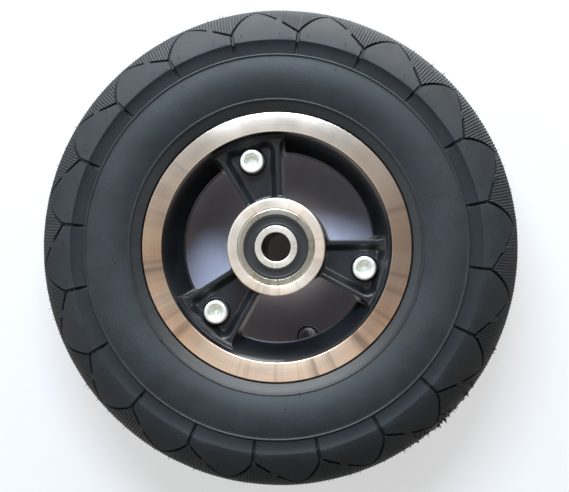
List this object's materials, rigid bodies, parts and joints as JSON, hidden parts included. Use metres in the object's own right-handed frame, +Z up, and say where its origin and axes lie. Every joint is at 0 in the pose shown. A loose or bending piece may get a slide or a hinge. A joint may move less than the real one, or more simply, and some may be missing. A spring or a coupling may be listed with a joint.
{
  "type": "scooter wheel",
  "caption": "Pneumatic scooter wheel: treaded rubber tyre and tube on a bolted split cast rim with open spokes, sealed ball bearings and a bent valve.",
  "frame": {"origin": "wheel centre, on the axle midway between the two tyre sides", "axes": "+Y along the axle away from the pictured face, +Z up as pictured"},
  "size_m": [0.2, 0.0479, 0.2],
  "materials": {
    "tyre": "moulded matt rubber",
    "tube": "matt",
    "valve_rubber": "satin",
    "brass": "machined",
    "cap": "moulded",
    "cast_rim": "gloss black paint with turned bare lip and hub face",
    "zinc": "bright zinc plate",
    "spacer": "turned",
    "bearing_steel": "ground",
    "ball_steel": "polished",
    "cage_steel": "pressed",
    "seal": "satin"
  },
  "bodies": {
    "core": {"front_inner_race": "bearing_steel", "rear_inner_race": "bearing_steel", "bearing_spacer": "spacer"},
    "wheel": {"tyre": "tyre", "inner_tube": "tube", "valve_stem": "valve_rubber", "valve_core": "brass", "front_rim_half": "cast_rim", "rear_rim_half": "cast_rim", "rim_bolts": "zinc", "rim_washers": "zinc", "rim_nuts": "zinc", "front_outer_race": "bearing_steel", "front_outer_seal": "seal", "front_inner_seal": "seal", "rear_outer_race": "bearing_steel", "rear_outer_seal": "seal", "rear_inner_seal": "seal"},
    "front_ball_train": {"front_balls": "ball_steel", "front_cage": "cage_steel"},
    "rear_ball_train": {"rear_balls": "ball_steel", "rear_cage": "cage_steel"},
    "pin": {"valve_pin": "brass"},
    "cap": {"valve_cap": "cap"}
  },
  "joints": [
    {"name": "wheel_spin", "type": "hinge", "parent": "core", "child": "wheel", "pos_m": [0, 0, 0], "axis": [0, 1, 0], "continuous": true},
    {"name": "front_ball_orbit", "type": "hinge", "parent": "core", "child": "front_ball_train", "pos_m": [0, -0.015, 0], "axis": [0, 1, 0], "continuous": true},
    {"name": "rear_ball_orbit", "type": "hinge", "parent": "core", "child": "rear_ball_train", "pos_m": [0, 0.015, 0], "axis": [0, 1, 0], "continuous": true},
    {"name": "pin_press", "type": "slide", "parent": "wheel", "child": "pin", "axis": [0, -1, 0], "range_m": [0, 0.0012], "stiffness_N_per_m": 300},
    {"name": "cap_off", "type": "slide", "parent": "wheel", "child": "cap", "axis": [0, 1, 0], "range_m": [0, 0.012]}
  ],
  "couplings": [
    {"joint": "front_ball_orbit", "follows": "wheel_spin", "ratio": 0.6353},
    {"joint": "rear_ball_orbit", "follows": "wheel_spin", "ratio": 0.6353}
  ]
}
